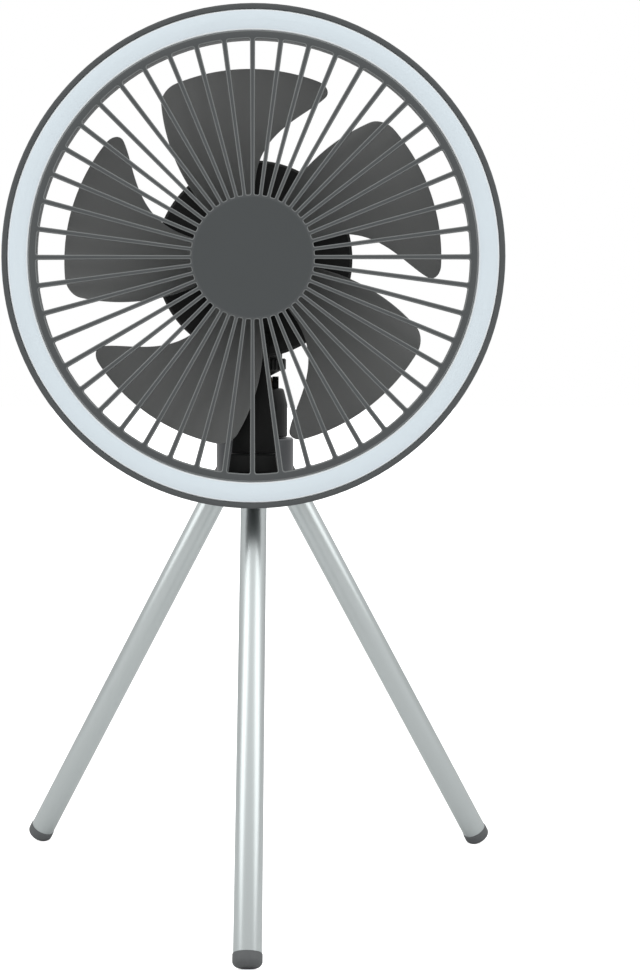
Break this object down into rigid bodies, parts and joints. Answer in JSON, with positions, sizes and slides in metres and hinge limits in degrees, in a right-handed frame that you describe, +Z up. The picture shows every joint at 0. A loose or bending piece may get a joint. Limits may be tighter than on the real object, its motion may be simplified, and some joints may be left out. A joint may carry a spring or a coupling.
{
  "type": "portable camping fan",
  "caption": "Round fan with a ring light round its grille, on a short neck with a lock wheel and a folding tripod stand.",
  "frame": {"origin": "on the floor, in the middle of the footprint of the open tripod and the head", "axes": "+Z up, -Y the way the fan blows, +X to the right seen from the front"},
  "size_m": [0.2508, 0.219, 0.4326],
  "materials": {
    "ring_grey": "fine satin",
    "lens_white": "milky",
    "blade_grey": "satin",
    "black_plastic": "satin",
    "button_grey": "satin",
    "hub_metal": "satin grey",
    "leg_metal": "anodised, satin",
    "leg_plastic": "satin",
    "steel": "plain",
    "wire": "bright wire",
    "brass": "plain",
    "nylon": "plain",
    "fibre": "plain",
    "board_white": "solder mask",
    "board_green": "solder mask",
    "chip_yellow": "phosphor",
    "chip_black": "moulded",
    "stator_steel": "laminated",
    "copper": "enamelled wire",
    "magnet": "plain",
    "cell_sleeve": "shrink sleeve",
    "cradle_plastic": "plain",
    "lead_black": "jacket"
  },
  "bodies": {
    "stand": {"hub": "hub_metal", "leg_pins": "steel", "swivel_bolt": "steel", "swivel_washers": "nylon", "swivel_nut": "steel"},
    "leg_front": {"leg_front_tube": "leg_metal", "leg_front_knuckle": "leg_plastic", "leg_front_foot": "leg_plastic"},
    "leg_right": {"leg_right_tube": "leg_metal", "leg_right_knuckle": "leg_plastic", "leg_right_foot": "leg_plastic"},
    "leg_left": {"leg_left_tube": "leg_metal", "leg_left_knuckle": "leg_plastic", "leg_left_foot": "leg_plastic"},
    "neck": {"neck_barrel": "black_plastic", "tilt_pin": "steel", "friction_washers": "fibre"},
    "head": {"tilt_knuckle": "black_plastic", "stud_insert": "brass", "housing_front": "black_plastic", "housing_rear": "black_plastic", "housing_screws": "steel", "rear_arm": "black_plastic", "arm_cover": "black_plastic", "arm_screws": "steel", "led_lead": "lead_black", "ring_housing": "ring_grey", "led_board": "board_white", "led_chips": "chip_yellow", "board_screws": "steel", "light_lens": "lens_white", "front_grille": "ring_grey", "front_bearing": "steel", "rear_bearing": "steel", "stator_core": "stator_steel", "stator_coils": "copper", "motor_board": "board_green", "battery_cells": "cell_sleeve", "battery_tabs": "steel", "battery_cradle": "cradle_plastic", "control_board": "board_green", "board_parts": "chip_black", "usb_socket": "steel", "charge_lens": "lens_white"},
    "rotor": {"fan_blades": "blade_grey", "rotor_yoke": "stator_steel", "rotor_magnet": "magnet", "rotor_shaft": "steel", "shaft_clip": "steel"},
    "lock_wheel": {"lock_wheel": "black_plastic"},
    "power_button": {"power_button": "button_grey"},
    "light_button": {"light_button": "button_grey"},
    "bail": {"hanging_bail": "wire"}
  },
  "joints": [
    {"name": "neck_swivel", "type": "hinge", "parent": "stand", "child": "neck", "pos_m": [0, 0.03419, 0.2245], "axis": [0, 0, 1], "continuous": true},
    {"name": "head_tilt", "type": "hinge", "parent": "neck", "child": "head", "pos_m": [0, 0.03419, 0.25052], "axis": [-1, 0, 0], "range_deg": [0, 32]},
    {"name": "lock_wheel_turn", "type": "hinge", "parent": "head", "child": "lock_wheel", "pos_m": [0, 0.03419, 0.26092], "axis": [0, 0, 1], "range_deg": [-180, 0]},
    {"name": "rotor_spin", "type": "hinge", "parent": "head", "child": "rotor", "pos_m": [0, -0.00181, 0.31262], "axis": [0, 1, 0], "continuous": true},
    {"name": "power_button_press", "type": "slide", "parent": "head", "child": "power_button", "axis": [0, -1, 0], "range_m": [0, 0.0008], "stiffness_N_per_m": 400},
    {"name": "light_button_press", "type": "slide", "parent": "head", "child": "light_button", "axis": [0, -1, 0], "range_m": [0, 0.0008], "stiffness_N_per_m": 400},
    {"name": "bail_swing", "type": "hinge", "parent": "head", "child": "bail", "pos_m": [0, 0.05189, 0.32462], "axis": [1, 0, 0], "range_deg": [0, 175]},
    {"name": "leg_front_fold", "type": "hinge", "parent": "stand", "child": "leg_front", "pos_m": [0, 0.02119, 0.21172], "axis": [1, 0, 0], "range_deg": [0, 31]},
    {"name": "leg_right_fold", "type": "hinge", "parent": "stand", "child": "leg_right", "pos_m": [0.01126, 0.04069, 0.21172], "axis": [-0.5, 0.866, 0], "range_deg": [0, 31]},
    {"name": "leg_left_fold", "type": "hinge", "parent": "stand", "child": "leg_left", "pos_m": [-0.01126, 0.04069, 0.21172], "axis": [-0.5, -0.866, 0], "range_deg": [0, 31]}
  ]
}
